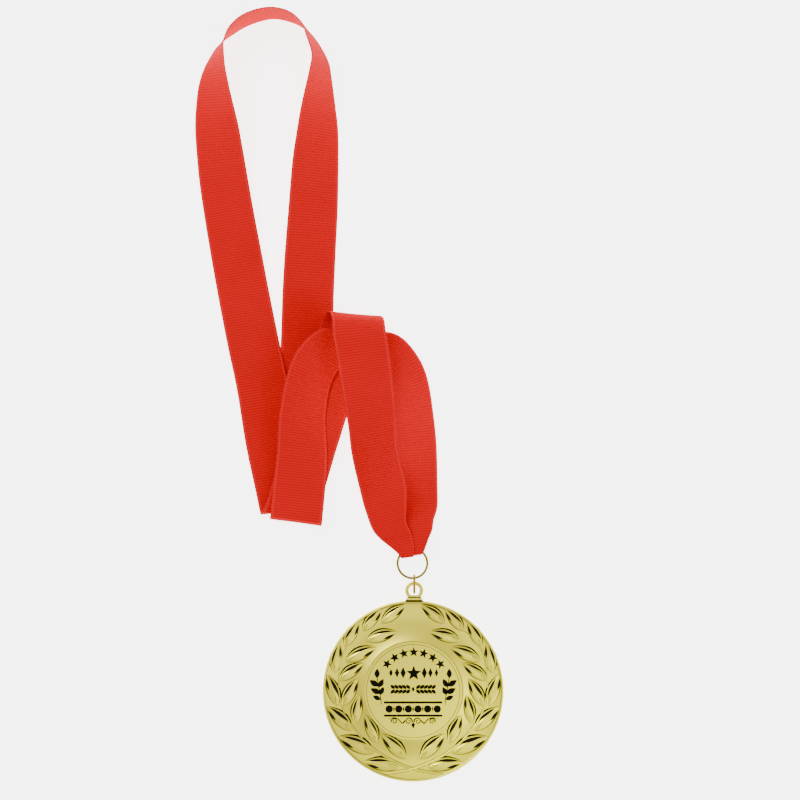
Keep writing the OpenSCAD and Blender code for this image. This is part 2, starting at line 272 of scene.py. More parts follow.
class Shader:
    """A material's node tree, with arithmetic nodes made by short calls."""

    def __init__(self, name):
        """A new material with nothing but its main shader."""
        self.material = bpy.data.materials.new(name)
        self.material.use_nodes = True
        self.nodes = self.material.node_tree.nodes
        self.links = self.material.node_tree.links
        self.surface = self.nodes["Principled BSDF"]

    def put(self, socket, value):
        """Links a node's output to a socket, or writes a plain number or colour in it."""
        if isinstance(value, bpy.types.NodeSocket):
            self.links.new(value, socket)
        else:
            socket.default_value = value

    def node(self, kind, output=0, settings=None, **inputs):
        """A node with its settings and inputs filled in; gives back one of its outputs."""
        made = self.nodes.new(kind)
        for key, value in (settings or {}).items():
            setattr(made, key, value)
        for key, value in inputs.items():
            self.put(made.inputs[key.replace("_", " ")], value)
        return made.outputs[output]

    def math(self, operation, a, b=0.0, c=0.0):
        """One arithmetic node."""
        made = self.nodes.new("ShaderNodeMath")
        made.operation = operation
        for socket, value in zip(made.inputs, (a, b, c)):
            self.put(socket, value)
        return made.outputs[0]

    def soft_step(self, value, low, high):
        """0 below low, 1 above high, and a smooth rise between them."""
        made = self.nodes.new("ShaderNodeMapRange")
        made.interpolation_type = "SMOOTHSTEP"
        self.put(made.inputs["Value"], value)
        self.put(made.inputs["From Min"], low)
        self.put(made.inputs["From Max"], high)
        return made.outputs["Result"]

    def mix(self, factor, first, second):
        """A blend of two colours."""
        made = self.nodes.new("ShaderNodeMix")
        made.data_type = "RGBA"
        for socket, value in ((0, factor), (6, first), (7, second)):
            self.put(made.inputs[socket], value)
        return made.outputs[2]

    def split(self, vector):
        """The three numbers of a vector."""
        made = self.nodes.new("ShaderNodeSeparateXYZ")
        self.links.new(vector, made.inputs[0])
        return made.outputs[0], made.outputs[1], made.outputs[2]

    def noise(self, scale, detail, **inputs):
        """A cloudy pattern that is fixed to the piece."""
        return self.node("ShaderNodeTexNoise", Vector=self.object_point(), Scale=scale,
                         Detail=detail, **inputs)

    def place(self):
        """The two numbers of the piece's own UV map."""
        return self.split(self.node("ShaderNodeUVMap", settings={"uv_map": "place"}))[:2]

    def from_axis(self, x, y):
        """The distance from the disc's axis: the root of x squared plus y squared."""
        return self.math("SQRT", self.math("ADD", self.math("POWER", x, 2.0),
                                           self.math("POWER", y, 2.0)))

    def object_point(self):
        """The place in the object's own frame, in metres."""
        return self.node("ShaderNodeTexCoord", output=3)

    def bump(self, height, strength, distance):
        """Small relief from a height pattern."""
        made = self.nodes.new("ShaderNodeBump")
        made.inputs["Strength"].default_value = strength
        made.inputs["Distance"].default_value = distance
        self.links.new(height, made.inputs["Height"])
        self.links.new(made.outputs[0], self.surface.inputs["Normal"])

    def set(self, **inputs):
        """Fills the shader's own sockets."""
        for key, value in inputs.items():
            self.put(self.surface.inputs[key.replace("_", " ")], value)


def give(obj, shader):
    """Puts the material on the whole object."""
    obj.data.materials.clear()
    obj.data.materials.append(shader.material)
    print(f"{obj.name}: finished in {shader.material.name}")


print("a screen grey of 128 is", round(linear(128, 128, 128)[0], 3), "in linear numbers")

# %% [markdown]
# ## The ribbon's finish
# Polyester grosgrain is a clear red with a soft sheen. Warp threads make a fine grain
# along the tape, painted shade darkens the ribs' valleys, and a painted highlight runs as a
# paler line along each selvedge, where the edge catches light. The pattern reads the
# ribbon's own map, so it follows every fold.


# %% Red grosgrain
def red_grosgrain():
    """Red cloth: ribs, warp threads and fibres give its tone and its relief. The rib
    valleys get painted shade, and each selvedge gets a paler painted highlight.
    """
    shader = Shader("red_grosgrain")
    run, side = shader.place()
    rib_wave = shader.math("ABSOLUTE", shader.math(
        "SINE", shader.math("MULTIPLY", run, math.pi / RIB_PITCH)))
    warp_wave = shader.math("ABSOLUTE", shader.math(
        "SINE", shader.math("MULTIPLY", side, math.pi / (0.28 * MM))))
    from_middle = shader.math("ABSOLUTE", side)
    # Painted highlight: a paler line along each selvedge, where the edge catches light
    selvedge = shader.math("MULTIPLY", shader.soft_step(from_middle, 8.9 * MM, 9.15 * MM),
                           shader.math("SUBTRACT", 1.0, shader.soft_step(
                               from_middle, 9.5 * MM, 9.75 * MM)))
    cloud = shader.noise(55.0, 4.0, Roughness=0.6)
    fibre = shader.noise(2600.0, 2.0, Roughness=0.7)
    deep = (0.34, 0.0, 0.001, 1.0)
    bright = (0.57, 0.0, 0.004, 1.0)
    # Painted shade: the rib wave darkens the red in the valleys between the ribs; cloud and fibre
    # add the cloth's own uneven tone
    tone = shader.math("ADD", shader.math("MULTIPLY", rib_wave, 0.55),
                       shader.math("MULTIPLY", cloud, 0.35))
    tone = shader.math("ADD", tone, shader.math("MULTIPLY", fibre, 0.22))
    cloth = shader.mix(tone, deep, bright)
    cloth = shader.mix(shader.math("MULTIPLY", selvedge, 0.28), cloth, (0.74, 0.03, 0.03, 1.0))
    height = shader.math("ADD", shader.math("MULTIPLY", rib_wave, 0.6),
                         shader.math("MULTIPLY", warp_wave, 0.25))
    height = shader.math("ADD", height, shader.math("MULTIPLY", fibre, 0.35))
    shader.set(Base_Color=cloth, Roughness=0.8, Sheen_Weight=0.05, Sheen_Roughness=0.4,
               Sheen_Tint=(1.0, 0.05, 0.04, 1.0), Specular_IOR_Level=0.04)
    shader.bump(height, 0.5, 0.06 * MM)
    return shader


give(ribbon, red_grosgrain())

# %% [markdown]
# ## The seam thread
# A short row of stitches holds the tape's overlapped ends over the ring; how many is a
# guess. Each is a bit of thread that rises out of the cloth, runs along it and dives
# again.

# %% Stitches across the overlapped ends
THREAD_RADIUS = 0.15 * MM
STITCHES = 5


def stitch_rings():
    """Points of shape (stitch, along, round, 3): tubes that rise from the cloth as the
    square root of a sine, run along it and sink in again."""
    part, sides = np.linspace(0, 1, 9), np.linspace(0, 2 * np.pi, 12, endpoint=False)
    rise = np.sin(np.pi * part) ** 0.5
    near = np.array([7.88, 7.9, 7.92])
    mid, side, lift, wide = (a[1] for a in ribbon_frame(near))
    along_cloth = unit(np.cross(lift, side))
    u = (-0.8 + 0.36 * np.arange(STITCHES))[:, None] + 0.2 * part[None]
    height = RIBBON_THICKNESS / 2 + (rise * 1.1 - 0.15) * THREAD_RADIUS
    line = (mid + u[..., None] * wide / 2 * side + height[None, :, None] * lift)
    radius = THREAD_RADIUS * (0.55 + 0.45 * rise)
    return line[:, :, None] + radius[None, :, None, None] * (
        np.cos(sides)[:, None] * lift + np.sin(sides)[:, None] * along_cloth)


stitches = stitch_rings()
pieces, along, round_ = stitches.shape[:3]
faces = repeated_faces(pieces, along, round_)
stitch_place = np.stack(np.broadcast_arrays(
    np.linspace(0, 1.2 * MM, along)[None, :, None],
    (np.arange(round_) / round_)[None, None], np.zeros((pieces, 1, 1)))[:2], axis=-1)
seam = close_up(new_object("seam_stitches", stitches, faces, stitch_place))
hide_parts("seam_thread")
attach(seam, "ribbon")

# %% [markdown]
# ## The thread's finish
# Sewing thread is plied: strands wind round one another, and painted shade in the grooves
# between the plies runs along it like a barber's pole. Adding the way along to the turn
# round gives that slant.


# %% Thread with a twist of plies
def red_thread():
    """One red with painted shade in the grooves between the plies, winding round the thread as
    they do.
    """
    shader = Shader("red_thread")
    run, turn = shader.place()
    twist = shader.math("SINE", shader.math("ADD", shader.math("MULTIPLY", run, 9000.0),
                                            shader.math("MULTIPLY", turn, 4 * math.pi)))
    # Painted shade: the darker red lies in the grooves between the plies
    shade = shader.math("MULTIPLY_ADD", twist, 0.5, 0.5)
    shader.set(Base_Color=shader.mix(shade, (0.30, 0.001, 0.003, 1.0), (0.74, 0.01, 0.012, 1.0)),
               Roughness=0.7, Specular_IOR_Level=0.15)
    shader.bump(shade, 0.6, 0.05 * MM)
    return shader


give(seam, red_thread())

# %% [markdown]
# ## The disc
# The medal is one casting: a turned blank with a flat back, a rounded rim and a sunk
# field. The blank is a profile turned round the axis, so a point is the profile's radius
# along a turning direction, plus its height.

# %% Driving sizes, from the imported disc
disc_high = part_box("medal_disc")[1]
DISC_R = float(disc_high[0])
TOP = float(disc_high[2])
plate_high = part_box("centre_plate")[1]
PLATE_R = float(plate_high[0])
PLATE_TOP = float(plate_high[2])
FIELD = TOP - 0.7 * MM
RIM_R = 0.6 * MM
BORDER = 0.7 * MM
print("disc radius", DISC_R, "top", TOP, "plate", PLATE_R, PLATE_TOP)


# %% Turned blank
def arc(cx, cz, r, start, stop, count):
    """Points on a round corner from one angle to another, in degrees."""
    angle = np.radians(np.linspace(start, stop, count))
    return np.stack([cx + r * np.cos(angle), cz + r * np.sin(angle)], axis=1)


recess_floor = float(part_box("adhesive_film")[0][2])
groove = 0.09 * MM
profile = np.concatenate([
    [[0, 0], [DISC_R * 0.6, 0]],
    arc(DISC_R - RIM_R, RIM_R, RIM_R, -90, 0, 8),
    arc(DISC_R - RIM_R * 0.7, TOP - RIM_R * 1.05, RIM_R * 0.7, 0, 90, 8),
    [[DISC_R - BORDER, TOP - RIM_R * 0.42], [DISC_R - BORDER - 0.3 * MM, FIELD + 0.08 * MM]],
    [[DISC_R - BORDER - 0.6 * MM, FIELD]],
    [[DISC_R * 0.8, FIELD], [PLATE_R + 0.55 * MM, FIELD], [PLATE_R + 0.42 * MM, FIELD + groove],
     [PLATE_R + 0.12 * MM, FIELD + groove], [PLATE_R + 0.02 * MM, FIELD],
     [PLATE_R + 0.02 * MM, recess_floor], [0, recess_floor]]])
TURNS = 256
turn = np.linspace(0, 2 * np.pi, TURNS, endpoint=False)
blank_points = np.stack([profile[:, 0, None] * np.cos(turn), profile[:, 0, None] * np.sin(turn),
                         np.broadcast_to(profile[:, 1, None], (len(profile), TURNS))], axis=-1)
blank = close_up(new_object("medal_blank", blank_points,
                            grid_faces(len(profile), TURNS)))
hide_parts("medal_disc")
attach(blank, "disc")

# %% [markdown]
# ## The laurel wreath
# Two branches cross under the centre and rise round it. Each leaf is an almond, folded
# along its midrib and raised from the field. It is a surface of two numbers: u runs from
# the base to the tip, and v from the shaded edge to the bright one. The width follows a
# sine of u, which is pulled towards the base; the height is a fold with its crest beside
# the middle and steep walls at both edges.

# %% Where the leaves grow: tip angle, tip radius, base angle, base radius
OUTER_LEAVES = [(85, 33.5, 65, 29), (69, 34, 50, 30.3), (52, 34, 33, 31.5),
                (33, 34, 13, 31.3), (11, 34, -11, 29.8), (-10, 34, -33, 28.3),
                (-31, 34, -58, 28.3), (-55, 33.4, -79, 30)]
INNER_LEAVES = [(75, 23.8, 47, 26.7), (50, 22.2, 24, 28.5), (30, 21.9, 8, 29),
                (13, 21.9, -12, 27.7), (-4, 20.6, -29, 25.6), (-26, 20.8, -55, 24.6),
                (-53, 20.7, -84, 26.4)]
STEM = np.array([[-11.4, -31.9], [-6, -31.2], [0, -30], [8, -26.8], [16, -21.8], [22, -15.5],
                 [26.5, -8.5], [28.6, 0], [28.4, 8], [26.8, 15], [23.4, 20.4], [18.6, 23.8]])
LEAF_HEIGHT = 0.68 * MM


def leaf_ends():
    """Base and tip of every leaf on the right branch, and of their mirror images."""
    polar = np.array(OUTER_LEAVES + INNER_LEAVES)
    angle = np.radians(polar[:, [0, 2]])
    radius = polar[:, [1, 3]] * MM
    xy = np.stack([radius * np.cos(angle), radius * np.sin(angle)], axis=-1)
    mirrored = xy * np.array([-1, 1])
    both = np.concatenate([xy, mirrored])
    return both[:, 1], both[:, 0]


leaf_base, leaf_tip = leaf_ends()
print("leaves:", len(leaf_tip))


# %% All leaves as one array
def leaf_grid(base, tip, along=44):
    """Points of shape (leaf, along, round, 3). v is 1 on the side that faces up the disc."""
    axis = tip - base
    size = np.linalg.norm(axis, axis=1)[:, None, None]
    axis = unit(axis)
    normal = np.stack([-axis[:, 1], axis[:, 0]], axis=1)
    normal *= np.where(normal[:, 1:] < 0, -1, 1)
    u = np.linspace(0, 1, along)[None, :, None]
    v_top = np.array([-1.04, -1, -0.93, -0.85, -0.7, -0.5, -0.25, 0, 0.12, 0.2, 0.3, 0.42,
                      0.55, 0.68, 0.78, 0.86, 0.93, 1, 1.04])
    v = np.concatenate([v_top, [0.5, -0.5]])[None, None]
    half_width = 0.205 * size * np.sin(np.pi * u ** 0.88) ** 0.86 + 0.012 * size
    half_width = half_width * (1 - 0.9 * np.clip((u - 0.93) / 0.07, 0, 1))
    bend = 0.035 * size * np.sin(np.pi * u)
    height_v = np.interp(v_top, [-1.04, -1, -0.85, -0.5, 0.12, 0.42, 0.78, 0.86, 1, 1.04],
                         [-0.2, 0, 0.66, 0.86, 1, 0.5, 0.72, 0.66, 0, -0.2])
    lift = np.sin(np.pi * np.clip(u, 0.02, 0.99) ** 0.7) ** 0.35
    top = LEAF_HEIGHT * lift * height_v[None, None]
    under = np.full(top.shape[:2] + (2,), -0.15 * MM)
    height = np.concatenate([top, under], axis=2) + FIELD
    sideways = bend + half_width * v
    xy = (base[:, None, None] + axis[:, None, None] * (size * u)[..., None]
          + normal[:, None, None] * sideways[..., None])
    height = np.broadcast_to(height, xy.shape[:3])
    uv = np.stack(np.broadcast_arrays(u, v, xy[..., 0])[:2], axis=-1)
    return np.concatenate([xy, height[..., None]], axis=-1), uv


leaves, leaf_uv = leaf_grid(leaf_base, leaf_tip)
faces = repeated_faces(*leaves.shape[:3])
wreath = close_up(new_object("laurel_leaves", leaves, faces, leaf_uv), weld=2e-7)
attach(wreath, "disc")

# %% [markdown]
# ## The stems
# A stem is a rounded rib of the casting that thins towards both ends. A swept tube with a
# changing radius makes it, half sunk in the field. The two cross at the foot of the disc,
# and one lies a little higher, so that it passes over the other.


# %% Two crossing stems
def tube(name, path, radius, sides):
    """A tube: each point is the path's point plus radius times a turning sideways vector.
    The sideways vectors come from the path's tangent and one fixed direction."""
    path = np.asarray(path, dtype=float)
    tangent = unit(np.gradient(path, axis=0))
    spread = np.ptp(path, axis=0)
    fixed = np.eye(3)[int(np.argmin(spread))]
    side = unit(np.cross(tangent, fixed))
    up = np.cross(side, tangent)
    angle = np.linspace(0, 2 * np.pi, sides, endpoint=False)
    radii = np.broadcast_to(np.asarray(radius, dtype=float), (len(path),))[:, None, None]
    points = path[:, None] + radii * (np.cos(angle)[None, :, None] * side[:, None]
                                      + np.sin(angle)[None, :, None] * up[:, None])
    faces = grid_faces(len(path), sides)
    length = np.concatenate([[0], np.cumsum(np.linalg.norm(np.diff(path, axis=0), axis=1))])
    uv = np.stack(np.broadcast_arrays(length[:, None], angle[None] / (2 * np.pi)), axis=-1)
    return close_up(new_object(name, points, faces, uv))


def smooth_path(points, count):
    """The same curve through a few points, sampled evenly by index."""
    return smooth_curve(points, np.linspace(0, len(points) - 1, count))


stem_line = smooth_path(STEM, 120) * MM
stem_width = np.interp(np.linspace(0, 1, 120), [0, 0.06, 0.3, 1], [0.2, 0.62, 0.55, 0.22]) * MM
stems = []
for side in (1, -1):
    line = np.column_stack([side * stem_line[:, 0], stem_line[:, 1],
                            np.full(120, FIELD + (0.05 if side > 0 else -0.02) * MM)])
    stem = tube(f"laurel_stem_{'right' if side > 0 else 'left'}", line, stem_width, sides=16)
    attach(stem, "disc")
    stems.append(stem)

# %% [markdown]
# ## The eyelet
# The eyelet is cast on top of the disc: a ring with rounded edges on a short tab. The
# ring is a rounded section turned round the hole, and the tab is a small block with soft
# edges that sinks into the rim.

# %% Eyelet ring and tab
EYELET_Y = 38.9 * MM
EYELET_X = 0.4 * MM
HOLE_R = 2.15 * MM
RIM_WIDTH = 1.4 * MM
EYELET_LOW = 1.15 * MM
EYELET_HIGH = 2.65 * MM
CORNER_POINTS = 6


def rounded_section(wide, tall, corner):
    """A rectangle with round corners, centred on zero, as a closed loop of points."""
    loops = [arc(sx * (wide / 2 - corner), sz * (tall / 2 - corner), corner, start, start + 90,
                 CORNER_POINTS)
             for sx, sz, start in ((1, 1, 0), (-1, 1, 90), (-1, -1, 180), (1, -1, 270))]
    return np.concatenate(loops)


section = rounded_section(RIM_WIDTH, EYELET_HIGH - EYELET_LOW, 0.42 * MM)
spin = np.linspace(0, 2 * np.pi, 97)
radius = HOLE_R + RIM_WIDTH / 2 + section[:, 0]
eyelet_points = np.stack([
    EYELET_X + radius[None] * np.cos(spin)[:, None],
    EYELET_Y + radius[None] * np.sin(spin)[:, None],
    np.broadcast_to((EYELET_HIGH + EYELET_LOW) / 2 + section[None, :, 1],
                    (len(spin), len(section)))], axis=-1)
eyelet = close_up(new_object("eyelet_ring", eyelet_points,
                             grid_faces(len(spin), len(section))), weld=1e-7)
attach(eyelet, "disc")

# Two grooves cross the tab: half its width, and its share of the height, at each place
tab_y, tab_half, tab_tall = np.array([
    [33.9, 3.6, 0.98], [34.55, 3.6, 0.98], [34.7, 3.3, 0.74], [35.05, 3.2, 0.74],
    [35.2, 3.3, 0.98], [36.0, 2.95, 0.98], [36.12, 2.7, 0.8], [36.4, 2.6, 0.8],
    [36.55, 2.75, 0.98], [37.1, 2.2, 0.98]]).T
tab_y, tab_half = tab_y * MM, tab_half * MM
tab_section = rounded_section(2, 1, 0.24)
tab_points = np.stack([
    EYELET_X + tab_half[:, None] * tab_section[None, :, 0],
    np.broadcast_to(tab_y[:, None], (len(tab_y), len(tab_section))),
    (EYELET_HIGH + EYELET_LOW) / 2 + (EYELET_HIGH - EYELET_LOW)
    * tab_tall[:, None] * tab_section[None, :, 1]], axis=-1)
tab = close_up(new_object("eyelet_tab", tab_points,
                          grid_faces(len(tab_y), len(tab_section))))
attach(tab, "disc")

# %% [markdown]
# ## The two wire rings
# Both are plated wire, bent round. Such rings close at a fine cut, so each is a tube
# along a circle that stops just short of meeting itself. Where the cut lies is a guess.


# %% Wire rings
def ring_path(centre, radius, first, second, cut_degrees, gap_degrees=2):
    """A circle in the plane of two directions, from one side of the cut to the other."""
    angle = np.radians(cut_degrees + np.linspace(gap_degrees / 2, 360 - gap_degrees / 2, 145))
    return (np.array(centre) + radius * (np.cos(angle)[:, None] * np.array(first)
                                         + np.sin(angle)[:, None] * np.array(second)))


def wire_ring(node, wire, first, second, cut):
    """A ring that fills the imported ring's box."""
    low, high = np.array(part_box(node))
    radius = float((high - low).max() - wire) / 2
    ring = tube(f"{node}_wire", ring_path((low + high) / 2, radius, first, second, cut),
                wire / 2, sides=28)
    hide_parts(node)
    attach(ring, node)
    return ring


jump_ring = wire_ring("jump_ring", 0.9 * MM, (0, 1, 0), (0, 0, 1), 60)
ribbon_ring = wire_ring("ribbon_ring", 0.95 * MM, (1, 0, 0), (0, 1, 0), 90)

# %% [markdown]
# ## The print on the centre plate
# The centre carries a black print. Here it is ornament alone: an arch of stars, three
# bands of stars, leaves and dots, a sprig at each side and a scroll beneath. A decal or a
# painted mask could carry it. Here ink stands a few hundredths of a millimetre proud, and
# each shape is an outline, filled and given that thickness, so its edge stays sharp.

# %% Flat shapes
INK_LOW = PLATE_TOP - 0.01 * MM
INK_HIGH = PLATE_TOP + 0.03 * MM
ink_vertices, ink_faces = [], []


def add_ink(outline):
    """Adds one closed outline, anticlockwise and in millimetres, as a thin slab."""
    outline = np.asarray(outline, dtype=float) * MM
    n, first = len(outline), sum(len(v) for v in ink_vertices)
    for z in (INK_LOW, INK_HIGH):
        ink_vertices.append(np.column_stack([outline, np.full(n, z)]))
    ink_faces.append(list(range(first + n, first + 2 * n)))
    ink_faces.append(list(range(first + n - 1, first - 1, -1)))
    ink_faces.extend([first + k, first + (k + 1) % n, first + n + (k + 1) % n, first + n + k]
                     for k in range(n))


def star(x, y, size, turn=0.0):
    """A five-pointed star: ten points at two radii by turns."""
    angle = np.radians(90 + turn + 36 * np.arange(10))
    r = size * np.where(np.arange(10) % 2 == 0, 1.0, 0.42)
    return np.column_stack([x + r * np.cos(angle), y + r * np.sin(angle)])


def almond(base, tip, ratio=0.42):
    """A leaf: the width is a sine of the way from the base to the tip."""
    base, tip = np.array(base, dtype=float), np.array(tip, dtype=float)
    u = np.linspace(0, 1, 13)
    axis = tip - base
    side = np.array([-axis[1], axis[0]]) * ratio / 2
    half = np.sin(np.pi * u ** 0.9)[:, None]
    right = base + u[:, None] * axis - half * side
    left = base + u[:, None] * axis + half * side
    return np.concatenate([right, left[-2:0:-1]])


def stroke(path, wide):
    """A pen line along a path, whose width may change along it."""
    path = np.asarray(path, dtype=float)
    tangent = unit(np.gradient(path, axis=0))
    side = np.column_stack([-tangent[:, 1], tangent[:, 0]])
    wide = np.broadcast_to(np.asarray(wide, dtype=float), (len(path),))[:, None] / 2
    return np.concatenate([path - side * wide, (path + side * wide)[::-1]])


def box_shape(x, y, wide, tall):
    """An upright rectangle, given by its middle."""
    return np.array([[x - wide / 2, y - tall / 2], [x + wide / 2, y - tall / 2],
                     [x + wide / 2, y + tall / 2], [x - wide / 2, y + tall / 2]])


print("a star has", len(star(0, 0, 1)), "corners")

# %% [markdown]
# ## The arch and the bands
# The arch is set out by even steps of the angle. Each row is set out by even steps of x
# from its middle, and small functions give a shape's corners, so a row is a short loop.

# %% Arch of stars and the three bands
for angle in np.linspace(138, 42, 7):
    a = math.radians(angle)
    add_ink(star(0.2 + 13.9 * math.cos(a), 1.2 + 13.9 * math.sin(a), 2.05, angle - 90))


def diamond(x, y, wide, tall):
    """A square on its corner, pulled to the width and height."""
    return np.array([[x, y - tall / 2], [x + wide / 2, y], [x, y + tall / 2], [x - wide / 2, y]])


# A bold row: a large star with diamonds that shrink away from it
add_ink(star(0.2, 6.9, 3.1))
for side in (-1, 1):
    for i, tall in enumerate((4.6, 3.9, 3.2)):
        add_ink(diamond(0.2 + side * (4.1 + 2.35 * i), 7.1, 0.45 * tall, tall))

# A slim row: a garland of leaf pairs that point away from a bead in the middle
for side in (-1, 1):
    for i in range(5):
        x = side * (1.1 + 1.5 * i)
        for lift in (-1, 1):
            add_ink(almond([x, 0.75 + 0.12 * lift], [x + side * 1.75, 0.75 + 1.75 * lift], 0.55))
add_ink(diamond(0, 0.75, 1.3, 2.2))

# A bold row: solid dots between two bars
add_ink(box_shape(0, -4.35, 22.6, 0.85))
add_ink(box_shape(0, -9.45, 22.6, 0.85))
circle = np.linspace(0, 2 * np.pi, 28, endpoint=False)
for x in np.linspace(-9.3, 9.3, 6):
    add_ink(np.column_stack([x + 1.45 * np.cos(circle), -6.9 + 1.45 * np.sin(circle)]))
for x in np.linspace(-7.44, 7.44, 5):
    add_ink(diamond(x, -6.9, 0.62, 2.6))
print("band shapes:", len(ink_vertices) // 2)

# %% [markdown]
# ## The sprigs and the scroll
# A sprig is a curved stalk with pointed leaves, drawn once and mirrored, as printed
# ornaments are. The scroll's curls are spirals.

# %% Sprigs at the sides
for side in (-1, 1):
    stalk = np.array([[12.3, -5.2], [12.6, -2.4], [13.2, 0.8], [13.7, 3.8], [14.0, 5.6]])
    add_ink(stroke(smooth_path(stalk * [side, 1], 24), 0.34)[::side])
    for x, y, dx, dy in ((12.6, -3.3, 3.0, 1.5), (12.8, -0.9, 3.7, 2.0), (13.4, 1.9, 3.5, 2.4),
                         (12.9, -1.5, -1.5, 3.2), (13.2, 1.5, -1.7, 3.3), (14.0, 5.0, -0.1, 3.8)):
        base = np.array([x, y])
        add_ink(almond(base * [side, 1], (base + [dx, dy]) * [side, 1], 0.52))
print("shapes with the sprigs:", len(ink_vertices) // 2)


# %% Scroll under the bands
def spiral(cx, cy, r_out, r_in, start, sweep, count=44):
    """A spiral: the radius shrinks evenly while the angle runs."""
    t = np.linspace(0, 1, count)
    angle = np.radians(start + sweep * t)
    r = r_out + (r_in - r_out) * t
    return np.column_stack([cx + r * np.cos(angle), cy + r * np.sin(angle)])


for side in (-1, 1):
    for cx, r_out, start, sweep in ((1.75, 1.45, 200, -500), (7.3, 1.25, -20, 480)):
        path = spiral(cx, -11.6, r_out, 0.3, start, sweep) * [side, 1]
        add_ink(stroke(path, np.linspace(0.5, 0.3, 44))[::side])
    swash = smooth_path(np.array([[3.1, -11.3], [4.2, -12.4], [5.4, -11.2], [6.4, -10.5],
                                  [8.2, -10.3], [9.4, -10.9]]), 40) * [side, 1]
    add_ink(stroke(swash, np.linspace(0.55, 0.22, 40))[::side])
add_ink(np.array([[0, -14.6], [0.8, -12.9], [0, -12.1], [-0.8, -12.9]]))

ink_mesh = bpy.data.meshes.new("centre_print")
ink_mesh.from_pydata(np.concatenate(ink_vertices), [], ink_faces)
ink = bpy.data.objects.new("centre_print", ink_mesh)
bpy.context.scene.collection.objects.link(ink)
close_up(ink, weld=1e-9)
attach(ink, "disc")

# %% [markdown]
# ## Gold finishes
# The casting is plated in a pale gold with a satin face, and a painted reflection brightens
# it towards the lower right. Hollows in the rim, along the stems and in the tab's grooves
# hold a dark patina; the wreath's drawing, on the steep walls and folds of the leaves, is
# painted dark reflection. An image could carry all this, but a node pattern needs no file,
# stays sharp at any distance and is changed by a number.

# %% Pale satin gold
PALE_GOLD = (0.76, 0.655, 0.045, 1.0)
# Painted reflection: the brighter, warmer gold that the drift puts on the disc's lower right
PAINTED_REFLECTION_GOLD = (0.95, 0.85, 0.03, 1.0)
# Black for the patina in the hollows and for the painted dark reflections on the leaves
PATINA_AND_PAINTED_REFLECTION = (0.004, 0.002, 0.0005, 1.0)


def gold_with_painted_reflection(shader):
    """A painted reflection: a slow drift from pale gold at the top left to a warmer, brighter
    one at the lower right, broken up by a slow cloud.
    """
    x, y, _ = shader.split(shader.object_point())
    slope = shader.math("SUBTRACT", x, y)
    drift = shader.soft_step(slope, -0.015, 0.038)
    cloud = shader.noise(60.0, 3.0)
    painted_reflection_amount = shader.math("MULTIPLY", drift, shader.math("MULTIPLY_ADD", cloud, 0.6, 0.5))
    return shader.mix(painted_reflection_amount, PALE_GOLD, PAINTED_REFLECTION_GOLD)


def satin_gold(name):
    """Plated metal with a fine grain."""
    shader = Shader(name)
    grain = shader.noise(3500.0, 3.0)
    rough = shader.math("MULTIPLY_ADD", grain, 0.12, 0.28)
    shader.set(Base_Color=gold_with_painted_reflection(shader), Metallic=1.0, Roughness=rough)
    shader.bump(grain, 0.12, 0.02 * MM)
    return shader


def with_patina_and_painted_reflection(shader, dark):
    """Turns the gold black and dull where dark is one: patina in the hollows, painted dark
    reflection on the leaves.
    """
    shader.set(Base_Color=shader.mix(dark, gold_with_painted_reflection(shader), PATINA_AND_PAINTED_REFLECTION),
               Metallic=shader.math("SUBTRACT", 1.0, dark), Specular_IOR_Level=0.1)
    return shader

print("pale gold", PALE_GOLD[:3], "warm gold", PAINTED_REFLECTION_GOLD[:3])

# %% [markdown]
# ## The painted dark reflections on the leaves
# On a leaf the dark places are painted dark reflections on its steep slopes, and they follow
# its own map: a line under the shaded edge, a bright sliver, a blade along the fold, a short
# stroke near the tip on the other side and two fine ones round the bud. Slow noise makes
# each blade a little different.


